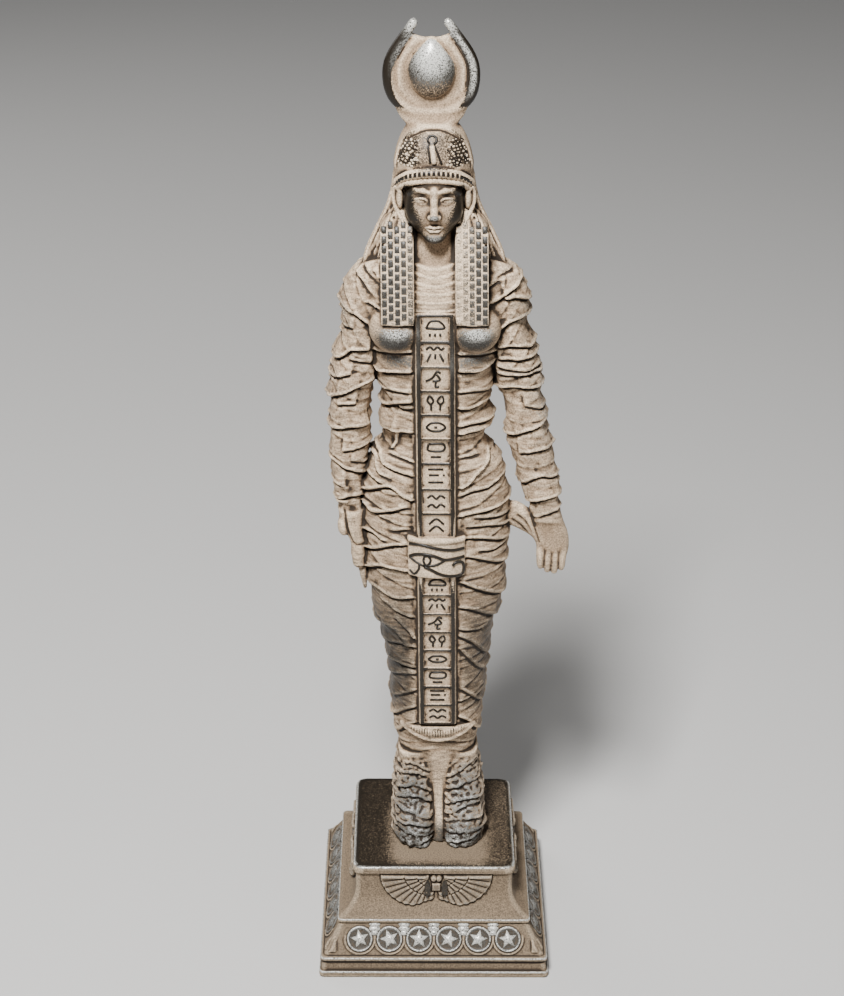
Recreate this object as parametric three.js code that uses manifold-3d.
// A wrapped goddess figure with a horned disc on its head, standing on a stepped square plinth.
// Millimetres, +Z up, the front faces -Y, and the origin is the centre of the plinth's underside.
import * as THREE from "three";
import { mergeVertices } from "three/addons/utils/BufferGeometryUtils.js";
import Module from "manifold-3d";

const wasm = await Module();
wasm.setup();

// Driving dimensions
const TOTAL_HEIGHT = 300;
const PLINTH_HEIGHT = 35;
const PLINTH_HALF_WIDTH = 36.4;
const SLAB_HALF_WIDTH = 25.7;
const REST_GAP = 0.3; // between the soles and the slab, so the two pieces never overlap
const SOLE = PLINTH_HEIGHT + REST_GAP;
const LEAN = -0.0132; // sideways drift for each millimetre of height
const LEAN_START = 1.5; // how far the feet stand to the side of the plinth's middle
const ROOT = 1; // how far the body and the feet run on below the soles before they are cut level

// Tables of the figure's sections, lowest first. A body row is
// height, half width, depth in front, depth behind.
const BODY = [
  [SOLE - ROOT, 11.8, 11.6, 9.0],
  [42, 11.8, 9.4, 8.9],
  [50, 12.0, 7.8, 8.8],
  [58, 12.0, 8.0, 8.8],
  [66, 12.3, 8.8, 9.2],
  [78, 14.1, 10.1, 10.0],
  [92, 15.0, 10.8, 10.6],
  [104, 16.2, 11.3, 11.1],
  [114, 18.6, 12.2, 12.0],
  [124, 20.8, 12.9, 13.1],
  [138, 21.8, 13.4, 14.2],
  [153, 21.6, 13.4, 13.9],
  [163, 20.6, 12.9, 12.7],
  [170, 18.4, 12.0, 11.0],
  [177, 15.7, 11.1, 9.7],
  [184, 15.6, 11.3, 9.5],
  [193, 16.8, 12.2, 10.3],
  [204, 18.6, 12.8, 11.2],
  [214, 20.8, 12.6, 11.6],
  [222, 21.6, 11.0, 10.6],
  [228, 19.0, 8.6, 8.8],
  [233, 10.5, 6.8, 7.2],
  [238, 6.6, 6.2, 6.2],
  [246, 6.4, 6.4, 6.0],
];
// The hair seen from behind, and the cap over the head.
const HAIR = [
  [207, 15.5, -4.0, 12.6],
  [214, 18.2, -1.0, 13.4],
  [224, 20.6, 2.0, 13.2],
  [231, 20.4, 3.6, 13.0],
  [238, 17.6, 5.0, 13.4],
  [246, 13.8, 7.0, 14.0],
  [253, 11.6, 9.6, 14.0],
  [259, 11.0, 11.4, 13.2],
  [265, 9.4, 10.0, 11.2],
  [269, 7.2, 7.4, 8.4],
  [271.5, 4.6, 4.6, 5.4],
];
// A limb row is height, middle in x, middle in y, half width, half depth.
const RIGHT_ARM = [
  [147, 33.6, -1.4, 4.2, 3.3],
  [152, 32.8, -1.3, 4.7, 3.9],
  [158, 31.3, -1.0, 5.6, 4.7],
  [165, 29.7, -0.6, 6.3, 5.4],
  [173, 27.8, -0.2, 6.8, 6.2],
  [180, 26.9, 0.2, 6.1, 6.2],
  [186, 26.0, 0.5, 6.0, 6.4],
  [193, 24.2, 0.6, 6.9, 7.0],
  [201, 22.4, 0.6, 6.8, 7.4],
  [209, 20.8, 0.6, 6.5, 7.8],
  [217, 20.2, 0.6, 7.0, 7.8],
  [222, 19.8, 0.6, 6.7, 7.0],
  [227, 18.2, 0.6, 5.4, 5.8],
  [230.5, 15.8, 0.8, 3.2, 3.6],
];
const LEFT_ARM = [
  [147, -25.6, -0.8, 4.0, 3.6],
  [152, -25.8, -0.8, 4.2, 4.0],
  [158, -26.1, -0.6, 4.7, 4.6],
  [165, -26.0, -0.4, 5.4, 5.3],
  [173, -25.6, -0.1, 6.1, 6.0],
  [180, -25.2, 0.2, 6.3, 6.2],
  [186, -25.1, 0.5, 6.3, 6.4],
  ...RIGHT_ARM.slice(7).map(([z, x, ...rest]) => [z, -x, ...rest]),
];
const RIGHT_PALM = [
  [134.6, 35.5, -1.9, 4.4, 1.6],
  [138, 35.4, -1.8, 5.0, 2.2],
  [142, 34.8, -1.6, 5.2, 2.6],
  [147, 33.8, -1.4, 4.4, 3.0],
  [151, 33.0, -1.3, 4.0, 3.2],
];
const LEFT_PALM = [
  [132, -23.4, -0.8, 2.2, 4.2],
  [138, -24.4, -1.0, 2.9, 4.9],
  [144, -25.3, -0.9, 3.7, 4.4],
  [150, -25.7, -0.8, 3.9, 3.8],
];
// A foot row is height, reach in front, depth behind, half width.
const FOOT = [
  [SOLE - ROOT, 15.2, 9.2, 6.2],
  [37.5, 15.8, 9.6, 6.6],
  [41, 15.0, 9.6, 6.6],
  [45, 12.6, 9.4, 6.3],
  [50, 10.2, 9.2, 6.0],
  [57, 8.8, 8.8, 5.6],
  [64, 7.8, 8.0, 5.0],
];
const FOOT_MIDDLE = 7.6;

// Carving of the figure
const WRAP = {
  pitch: 9.6, armPitch: 9.2, step: 0.75, droop: 5, tilt: 4, bodyTop: 213, armLow: 147, armTop: 221,
};
const COLLAR = { z: 237, reach: 23.5, drop: 20, rows: 5, inner: 0.42, step: 0.5, rowStep: 0.12 };
const BREAST = { x: 11.4, y: -8.8, z: 211.8, radii: [7.6, 7.2, 7.2] };
const BAND = {
  half: 6.7, top: 218, bottom: 80, rail: 5.5, railWidth: 1.0, bar: 1.0, raised: 0.6, above: 9, below: 8,
};
const PLAQUE = { half: 8.5, bottom: 133.4, top: 146.8, raised: 1.5, cornice: 1.8, overhang: 0.4 };
const FACE = { y: -5.0, z: 249.4, radii: [8.5, 8.2, 11.2], eye: 3.6, eyeHeight: 251.4, ear: 9.9 };
const HEADBAND = { low: 257.4, high: 260.9, raised: 0.5 };
const LAPPET = { middle: 10.6, half: 4.7, strands: 4, groove: 0.6 };
// A row of the front hair is height, reach in front, reach of its back edge.
const LAPPET_ROWS = [
  [215.3, 16.6, 10], [224, 15.4, 6], [233, 13.4, 2], [241, 11.0, 2], [248, 8.4, 1],
];
const HORN = { half: 11.9, tip: 4.8, base: 273, thick: 1.95, thin: 0.9, flatten: 1.1, shift: -0.5 };
const DISC = { radii: [7.0, 5.0, 8.3], y: -0.4, z: 285.6 };

// Plinth profile, from the ground up: height and half width of each edge.
const PLINTH_PROFILE = [
  [0, 35.9], [0.7, PLINTH_HALF_WIDTH], [2.2, PLINTH_HALF_WIDTH], [2.6, 35.8], [6.2, 35.5],
  [6.5, 36.0], [7.3, 35.8], [7.6, 34.9], [16.9, 29.7], [17.2, 30.3], [18.3, 30.3], [18.7, 29.6],
  [20.2, 27.2], [22.6, 25.6], [26.0, 24.9], [32.2, 24.8], [32.6, SLAB_HALF_WIDTH],
  [34.2, SLAB_HALF_WIDTH], [PLINTH_HEIGHT, 24.9],
];
const PLINTH_CORNER = 1.4;
const FRIEZE = {
  count: 6, radius: 4.1, raised: 0.7, low: [7.6, 34.9], high: [16.9, 29.7], drop: [1.5, 0.9, 2.0],
};
const WING = { top: 31.8, reach: 15.6, bottom: 24.4, tierRise: 2.8, face: 25.8, tierStep: 0.5, sun: 2.2 };

// Smooth values between the rows of a table, at a height.
function along(rows, z) {
  const last = rows.length - 1;
  if (z <= rows[0][0]) return rows[0].slice(1);
  if (z >= rows[last][0]) return rows[last].slice(1);
  const i = rows.findIndex((row) => row[0] > z);
  const [a, b] = [rows[i - 1], rows[i]];
  const before = rows[Math.max(i - 2, 0)];
  const after = rows[Math.min(i + 1, last)];
  const span = b[0] - a[0];
  const t = (z - a[0]) / span;
  return a.slice(1).map((start, k) => {
    const end = b[k + 1];
    const leave = ((end - before[k + 1]) / (b[0] - before[0])) * span;
    const arrive = ((after[k + 1] - start) / (after[0] - a[0])) * span;
    const cubic = 2 * (start - end) + leave + arrive;
    const square = 3 * (end - start) - 2 * leave - arrive;
    return ((cubic * t + square) * t + leave) * t + start;
  });
}

const turns = (count) => Array.from({ length: count }, (_, i) => (i / count) * 2 * Math.PI);
const lerp = THREE.MathUtils.lerp;
const noise = (n) => THREE.MathUtils.euclideanModulo(Math.sin(n * 12.9898) * 43758.5453, 1) - 0.5;
const point = (x, y, z) => new THREE.Vector3(x, y, z);

function solidOf(geometry) {
  const bare = geometry.clone();
  bare.deleteAttribute("normal");
  bare.deleteAttribute("uv");
  const merged = mergeVertices(bare, 1e-3);
  const mesh = new wasm.Mesh({
    numProp: 3,
    vertProperties: new Float32Array(merged.attributes.position.array),
    triVerts: new Uint32Array(merged.index.array),
  });
  return new wasm.Manifold(mesh);
}

const join = (geometries) => geometries.map(solidOf).reduce((whole, piece) => whole.add(piece));

function geometryOf(solid) {
  const mesh = solid.getMesh();
  const geometry = new THREE.BufferGeometry();
  geometry.setAttribute("position", new THREE.BufferAttribute(mesh.vertProperties, 3));
  geometry.setIndex(new THREE.BufferAttribute(mesh.triVerts, 1));
  return geometry;
}

// A closed skin over rings of points. Each ring runs anticlockwise seen from above, lowest first.
function skin(rings) {
  const columns = rings[0].length;
  const points = rings.flat();
  const faces = [];
  for (let r = 0; r + 1 < rings.length; r++) {
    for (let c = 0; c < columns; c++) {
      const low = r * columns + c;
      const lowNext = r * columns + ((c + 1) % columns);
      faces.push(low, lowNext, lowNext + columns, low, lowNext + columns, low + columns);
    }
  }
  const middleOf = (ring) => ring.reduce((sum, p) => sum.add(p), point(0, 0, 0)).divideScalar(columns);
  const under = points.push(middleOf(rings[0])) - 1;
  const over = points.push(middleOf(rings.at(-1))) - 1;
  const topStart = (rings.length - 1) * columns;
  for (let c = 0; c < columns; c++) {
    const next = (c + 1) % columns;
    faces.push(under, next, c, over, topStart + c, topStart + next);
  }
  const geometry = new THREE.BufferGeometry().setFromPoints(points);
  geometry.setIndex(faces);
  return geometry;
}

// A point of a rounded section: front and back are depths from the section's middle.
function roundedPoint(angle, half, front, back, power = 2.3) {
  const soft = (value) => Math.sign(value) * Math.abs(value) ** (2 / power);
  const depth = Math.sin(angle) < 0 ? front : back;
  return [half * soft(Math.cos(angle)), depth * soft(Math.sin(angle))];
}

// A round tube through points, with a radius at each. It can be flattened or deepened in y.
function tube(points, radii, sides = 5, flatten = 1) {
  const path = points.map((p) => point(...p));
  const rings = path.map((p, i) => {
    const ahead = path[Math.min(i + 1, path.length - 1)].clone();
    const heading = ahead.sub(path[Math.max(i - 1, 0)]).normalize();
    const side = point(0, 1, 0).cross(heading).normalize();
    const depth = heading.clone().cross(side);
    return turns(sides).map((angle) => p.clone()
      .addScaledVector(side, radii[i] * Math.cos(angle))
      .addScaledVector(depth, radii[i] * flatten * Math.sin(angle)));
  });
  return skin(rings);
}

function ball(center, radii, across, up) {
  return new THREE.SphereGeometry(1, across, up).rotateX(Math.PI / 2).scale(...radii).translate(...center);
}

function box(center, size) {
  return new THREE.BoxGeometry(...size).translate(...center);
}

// A flat outline in x and z with its front face at a depth and a thickness behind it.
function plate(shape, frontY, thickness, curveSegments) {
  const geometry = new THREE.ExtrudeGeometry(shape, { depth: thickness, bevelEnabled: false, curveSegments });
  return geometry.rotateX(Math.PI / 2).translate(0, frontY + thickness, 0);
}

// The y of the body's front surface, where x is across the body.
function bodyFront(x, z) {
  const [half, front] = along(BODY, z);
  return -front * (1 - Math.min(Math.abs(x) / half, 0.98) ** 2.3) ** (1 / 2.3);
}

// How far a row of the collar lifts the skin, stepping up towards the neck.
function collarLift(x, z) {
  const from = Math.hypot(x / COLLAR.reach, (z - COLLAR.z) / COLLAR.drop);
  if (from > 1 || z < COLLAR.z - COLLAR.drop) return 0;
  const row = Math.floor(((1 - from) / (1 - COLLAR.inner)) * COLLAR.rows);
  return Math.min(row + 1, COLLAR.rows) * COLLAR.rowStep + COLLAR.step;
}

const plainRings = (heights) => heights.map((z) => ({ z, lift: 0, seed: 0 }));

// Wrap edges up the body or an arm: each is a ring just under the edge and one on it.
function wrapRings(low, high, pitch) {
  const rings = [];
  const count = Math.round((high - low) / pitch);
  for (let k = 0; k <= count; k++) {
    const z = low + ((high - low) * k) / count;
    if (k > 0) rings.push({ z: z - 0.5, lift: -WRAP.step / 3, seed: k });
    if (k < count) rings.push({ z: z + 0.5, lift: WRAP.step * (0.7 + noise(k)), seed: k });
  }
  return rings;
}

function body() {
  const low = BODY[0][0];
  const chest = plainRings([216.5, 219.5, 222.5, 226, 229, 232, 236, 245]);
  const rings = [...wrapRings(low, WRAP.bodyTop, WRAP.pitch), ...chest];
  return skin(rings.map(({ z, lift, seed }) =>
    turns(16).map((angle) => {
      const across = Math.cos(angle);
      const fade = Math.max(Math.min((z - low) / 12, (WRAP.bodyTop - z) / 12, 1), 0);
      const rise = seed ? WRAP.droop * (across ** 2 - 0.5) + WRAP.tilt * noise(seed + 7) * across : 0;
      const height = z + fade * rise;
      const [half, front, back] = along(BODY, height);
      const [x, y] = roundedPoint(angle, half, front, back);
      const out = 1 + (lift + collarLift(x, height)) / Math.hypot(x, y);
      return point(x * out, y * out, height);
    }),
  ));
}

function limb(rows, rings) {
  return skin(rings.map(({ z, lift, seed }) =>
    turns(9).map((angle) => {
      const tilt = seed ? (WRAP.tilt / 2) * noise(seed + 3) * Math.cos(angle) : 0;
      const [middleX, middleY, half, depth] = along(rows, z + tilt);
      const [x, y] = roundedPoint(angle, half + lift * 0.7, depth + lift * 0.7, depth + lift * 0.7);
      return point(middleX + x, middleY + y, z + tilt);
    })));
}

function arm(rows) {
  const shoulder = plainRings([224.5, 227.5, 230.5]);
  return limb(rows, [...wrapRings(WRAP.armLow, WRAP.armTop, WRAP.armPitch), ...shoulder]);
}

function palm(rows) {
  return limb(rows, plainRings(rows.map(([z]) => z)));
}

function head() {
  const hair = skin(HAIR.map(([z, half, front, back], row) =>
    turns(18).map((angle, column) => {
      const lock = row < 7 ? (column % 2 ? 0.45 : -0.35) : 0;
      const side = Math.sin(angle);
      const [x, y] = roundedPoint(angle, half + lock, Math.abs(front), back + lock, 2.1);
      return point(x, side < 0 ? y * Math.sign(front) : y, z);
    })));
  const headband = skin([0, 1, 2, 3].map((edge) => {
    const out = edge === 0 || edge === 3 ? -0.4 : HEADBAND.raised;
    const z = edge < 2 ? HEADBAND.low + edge * 0.5 : HEADBAND.high - (3 - edge) * 0.5;
    const [half, front, back] = along(HAIR, z);
    return turns(16).map((angle) => {
      const [x, y] = roundedPoint(angle, half + out, front + out + 0.3, back + out, 2.1);
      return point(x, y, z);
    });
  }));
  const { y, z, radii } = FACE;
  const features = [
    ball([0, y, z], radii, 12, 8),
    tube(
      [[0, y - 7.4, 253.4], [0, y - 8.7, 249.5], [0, y - 9.3, 247.2], [0, y - 7.2, 245.6]],
      [0.6, 0.8, 1.2, 1.0],
    ),
    ball([0, y - 7.3, 243.4], [2.4, 1.2, 0.9], 6, 4),
    ball([0, y - 5.6, 240.2], [2.8, 2.2, 2.0], 8, 4),
  ];
  for (const side of [-1, 1]) {
    features.push(ball([side * FACE.eye, y - 7.0, FACE.eyeHeight], [1.8, 0.9, 0.8], 6, 4));
    features.push(ball([side * FACE.ear, y - 0.6, 250.4], [1.3, 1.9, 3.2], 5, 4));
    features.push(lappet(side));
  }
  return [hair, headband, ...features, ...uraeus()];
}

// A small rearing cobra in front of the cap, its head above the headband.
function uraeus() {
  const low = HEADBAND.high;
  const path = [[-11.4, 0], [-11.3, 3.2], [-11.0, 5.8], [-9.8, 7.8]];
  return [tube(path.map(([y, rise]) => [0, y, low - 0.6 + rise]), [1.6, 1.2, 0.9, 1.4], 6)];
}

// One front fall of hair, ribbed by its strands.
function lappet(side) {
  const { middle, half, strands, groove } = LAPPET;
  return skin(LAPPET_ROWS.map(([z, front, back], row) => {
    const narrow = row === LAPPET_ROWS.length - 1 ? 0.6 : 1;
    const edge = Array.from({ length: strands * 2 + 1 }, (_, i) => {
      const x = side * middle + half * narrow * (i / strands - 1);
      return point(x, -front + (i % 2 ? 0 : groove), z);
    });
    const behind = [half, -half].map((x) => point(side * middle + x * narrow, -back, z));
    return [...edge, ...behind];
  }));
}

function crown() {
  const top = TOTAL_HEIGHT - HORN.thin;
  const path = [
    [2.6, HORN.base], [8.2, 275.2], [HORN.half - 0.3, 280.2], [HORN.half, 286], [9.2, 292.4], [HORN.tip, top],
  ];
  const curve = new THREE.CatmullRomCurve3(path.map(([x, z]) => point(x, 0, z)));
  const steps = 8;
  const pieces = [];
  for (const side of [-1, 1]) {
    const points = curve.getPoints(steps).map((p) => [side * p.x, p.y, p.z]);
    const radii = points.map((_, i) => lerp(HORN.thick, HORN.thin, (i / steps) ** 2));
    pieces.push(tube(points, radii, 6, HORN.flatten));
    pieces.push(ball([side * HORN.tip, 0, top], [HORN.thin, HORN.thin, HORN.thin], 6, 3));
  }
  const dish = new THREE.Shape();
  dish.moveTo(-6.2, 272);
  dish.bezierCurveTo(-16, 277, -14, 290, -HORN.tip - 0.6, 296.6);
  dish.quadraticCurveTo(0, 291.6, HORN.tip + 0.6, 296.6);
  dish.bezierCurveTo(14, 290, 16, 277, 6.2, 272);
  pieces.push(plate(dish, -0.8, 2.4, 6));
  pieces.push(ball([0, DISC.y, DISC.z], DISC.radii, 12, 8));
  const neck = [[266, 8.4, 5.6], [269.5, 6.7, 4.6], [272, 7.2, 3.6], [275.5, 8.4, 2.2]];
  pieces.push(skin(neck.map(([z, half, depth]) =>
    turns(12).map((angle) => point(...roundedPoint(angle, half, depth, depth), z)))));
  return pieces.map((piece) => piece.translate(HORN.shift, 0, 0));
}

function breasts() {
  return [-1, 1].map((side) => ball([side * BREAST.x, BREAST.y, BREAST.z], BREAST.radii, 9, 6));
}

function rightHand() {
  const tips = [[31.9, 130.6], [34.1, 128.2], [36.4, 127.2], [38.7, 129.8]];
  const fingers = tips.map(([x, tip], i) => {
    const knuckle = [35.2 + (i - 1.5) * 2.1, -2.0, 137.5];
    return tube([[x, -2.2, tip], [x - 0.1, -2.5, tip + 4], knuckle], [0.8, 1.2, 1.3], 4);
  });
  const web = tube([[19.5, -1.2, 148.6], [24.5, -1.2, 148.4], [28.5, -1.4, 145.2], [32.6, -1.6, 141.5]],
    [4.4, 3.9, 3.5, 3.0], 8, 0.62);
  return [palm(RIGHT_PALM), web, ...fingers];
}

function leftHand() {
  const fingers = [-4.0, -1.7, 0.6, 2.7].map((y, i) => {
    const tip = [-21.6, y, 121.6 + Math.abs(i - 1.3)];
    return tube([tip, [-22.4, y - 0.3, 127], [-23.7, y, 134]], [0.9, 1.3, 1.4], 4);
  });
  const thumb = tube([[-24.0, -6.2, 136.6], [-25.0, -5.8, 141], [-25.6, -3.2, 147]], [1.0, 1.5, 1.8]);
  return [palm(LEFT_PALM), thumb, ...fingers];
}

function feet() {
  return [-1, 1].map((side) => skin(FOOT.map(([z, front, back, half], row) =>
    turns(12).map((angle) => {
      const wrap = row % 2 ? 0.35 : 0;
      const [x, y] = roundedPoint(angle, half + wrap, front + wrap, back + wrap, 2.8);
      return point(side * FOOT_MIDDLE + x, y, z);
    }))));
}

// A strip that follows the front of the body between two heights.
function strip(left, right, low, high, raised, steps) {
  const rings = [];
  for (let i = 0; i <= steps; i++) {
    const z = lerp(low, high, i / steps);
    const front = bodyFront(0, z) - WRAP.step - raised;
    const back = front + 5;
    rings.push([point(left, front, z), point(right, front, z), point(right, back, z), point(left, back, z)]);
  }
  return skin(rings);
}

// The band down the front: a plain ground framed by rails, with bars between the cells for the signs.
function inscription() {
  const steps = 12;
  const pieces = [strip(-BAND.half, BAND.half, BAND.bottom - 1, BAND.top, 0, steps)];
  const bars = (low, high, count) => {
    for (let i = 0; i <= count; i++) {
      const from = lerp(low, high - BAND.bar, i / count);
      pieces.push(strip(-BAND.rail - 0.2, BAND.rail + 0.2, from, from + BAND.bar, BAND.raised, 1));
    }
  };
  bars(PLAQUE.top - 0.5, BAND.top - 0.2, BAND.above);
  bars(BAND.bottom - 0.8, PLAQUE.bottom + 0.5, BAND.below);
  for (const side of [-1, 1]) {
    const inner = side * BAND.rail;
    const outer = inner + side * BAND.railWidth;
    const [left, right] = [Math.min(inner, outer), Math.max(inner, outer)];
    pieces.push(strip(left, right, BAND.bottom - 0.8, BAND.top - 0.2, BAND.raised, steps));
  }
  return pieces;
}

// The plaque over the band: a cornice, and an eye with its brow, tail and spiral.
function plaque() {
  const middle = (PLAQUE.bottom + PLAQUE.top) / 2;
  const y = bodyFront(0, middle) - WRAP.step - PLAQUE.raised;
  const height = PLAQUE.top - PLAQUE.bottom;
  const face = box([0, y + 3, middle], [2 * PLAQUE.half, 6, height]);
  const cornice = box(
    [0, y + 3 - PLAQUE.overhang, PLAQUE.top - PLAQUE.cornice / 2],
    [2 * (PLAQUE.half + PLAQUE.overhang), 6, PLAQUE.cornice],
  );
  const line = (points, radius) => tube(points.map(([x, z]) => [x, y, z]), points.map(() => radius), 4);
  const brow = line([[-7.4, 142.4], [-3, 143.4], [3, 142.2], [7.8, 141.6]], 0.7);
  const lid = line([[-7.2, 139.2], [-4, 141], [-0.5, 140.9], [3, 138.9], [7.6, 139.2]], 0.55);
  const under = line([[-7.2, 139.2], [-4.2, 137.4], [-0.6, 137.4], [3, 138.9]], 0.55);
  const tail = line([[-2, 137.3], [1, 135.2], [5.6, 134.6], [6.8, 136.4]], 0.55);
  const iris = ball([-2.4, y, 139.1], [1.3, 0.8, 1.3], 6, 4);
  return [face, cornice, brow, lid, under, tail, iris];
}

function hem() {
  const points = [[-11.2, 77.4], [-6.4, 74], [0, 72.8], [6.4, 74], [11.2, 77.4]];
  return [tube(points.map(([x, z]) => [x, bodyFront(x, z) - 0.3, z]), points.map(() => 0.9), 5)];
}

// The figure is made upright, cut level at the soles, then leaned a little to its right.
function figure() {
  const whole = join([
    body(), ...breasts(), ...head(), ...crown(), ...feet(), ...inscription(), ...plaque(), ...hem(),
    arm(RIGHT_ARM), arm(LEFT_ARM), ...rightHand(), ...leftHand(),
  ]);
  const below = box([0, 0, SOLE - 5], [2 * PLINTH_HALF_WIDTH, 2 * PLINTH_HALF_WIDTH, 10]);
  const lean = new THREE.Matrix4().set(
    1, 0, LEAN, LEAN_START - LEAN * PLINTH_HEIGHT,
    0, 1, 0, 0,
    0, 0, 1, 0,
    0, 0, 0, 1,
  );
  return geometryOf(whole.subtract(solidOf(below))).applyMatrix4(lean);
}

function square(z, half) {
  const corners = [[1, 1, 0], [-1, 1, 90], [-1, -1, 180], [1, -1, 270]];
  return corners.flatMap(([sideX, sideY, start]) => [0, 90].map((step) => {
    const angle = THREE.MathUtils.degToRad(start + step);
    const inner = half - PLINTH_CORNER;
    return point(
      sideX * inner + PLINTH_CORNER * Math.cos(angle),
      sideY * inner + PLINTH_CORNER * Math.sin(angle),
      z,
    );
  }));
}

// Round bosses along the sloping course, with a drop hanging between each two.
function frieze() {
  const [lowZ, lowHalf] = FRIEZE.low;
  const [highZ, highHalf] = FRIEZE.high;
  const slope = Math.atan2(lowHalf - highHalf, highZ - lowZ);
  const pitch = (2 * highHalf - 3) / FRIEZE.count;
  const thickness = 2;
  const pieces = [];
  for (let i = 0; i < FRIEZE.count; i++) {
    const x = (i - (FRIEZE.count - 1) / 2) * pitch;
    const boss = new THREE.CylinderGeometry(FRIEZE.radius * 0.85, FRIEZE.radius, thickness, 8);
    boss.translate(0, FRIEZE.raised - thickness / 2, 0).rotateX(Math.PI - slope);
    pieces.push(boss.translate(x, -(lowHalf + highHalf) / 2, (lowZ + highZ) / 2));
    if (i) {
      const y = -lerp(lowHalf, highHalf, 0.8);
      pieces.push(ball([x - pitch / 2, y, lerp(lowZ, highZ, 0.8)], FRIEZE.drop, 4, 2));
    }
  }
  return pieces;
}

// Two spread wings of stepped feathers, on either side of a small sun.
function wings() {
  const { top, reach, bottom, tierRise, face, tierStep, sun } = WING;
  const pieces = [ball([0, -face + 0.6, (top + bottom) / 2 + 0.6], [sun, sun, sun], 6, 4)];
  for (const side of [-1, 1]) {
    for (const tier of [0, 1]) {
      const low = bottom + tier * tierRise;
      const shape = new THREE.Shape();
      shape.moveTo(side * 1.6, top);
      shape.lineTo(side * (reach - tier), top);
      shape.quadraticCurveTo(side * (reach - tier), low + 0.6, side * 8, low);
      shape.quadraticCurveTo(side * 3, low, side * 1.6, low + 2.2);
      pieces.push(plate(shape, -face - tier * tierStep, 2, 3));
    }
  }
  return pieces;
}

const turned = (pieces, quarter) => pieces.map((piece) => piece.clone().rotateZ((quarter * Math.PI) / 2));

function plinth() {
  const core = skin(PLINTH_PROFILE.map(([z, half]) => square(z, half)));
  const courses = [0, 1, 2, 3].flatMap((quarter) => turned(frieze(), quarter));
  const reliefs = [0, 1, 3].flatMap((quarter) => turned(wings(), quarter));
  return geometryOf(join([core, ...courses, ...reliefs]));
}

const resin = new THREE.MeshStandardMaterial({ color: 0x4a3d36, roughness: 0.55, metalness: 0.15 });
const darkResin = new THREE.MeshStandardMaterial({ color: 0x3a322e, roughness: 0.5, metalness: 0.15 });

function named(name, geometry, material) {
  const flat = geometry.toNonIndexed();
  flat.computeVertexNormals();
  const mesh = new THREE.Mesh(flat, material);
  mesh.name = name;
  return mesh;
}

const statue = new THREE.Group();
statue.add(named("figure", figure(), resin));
statue.add(named("plinth", plinth(), darkResin));

export default statue;
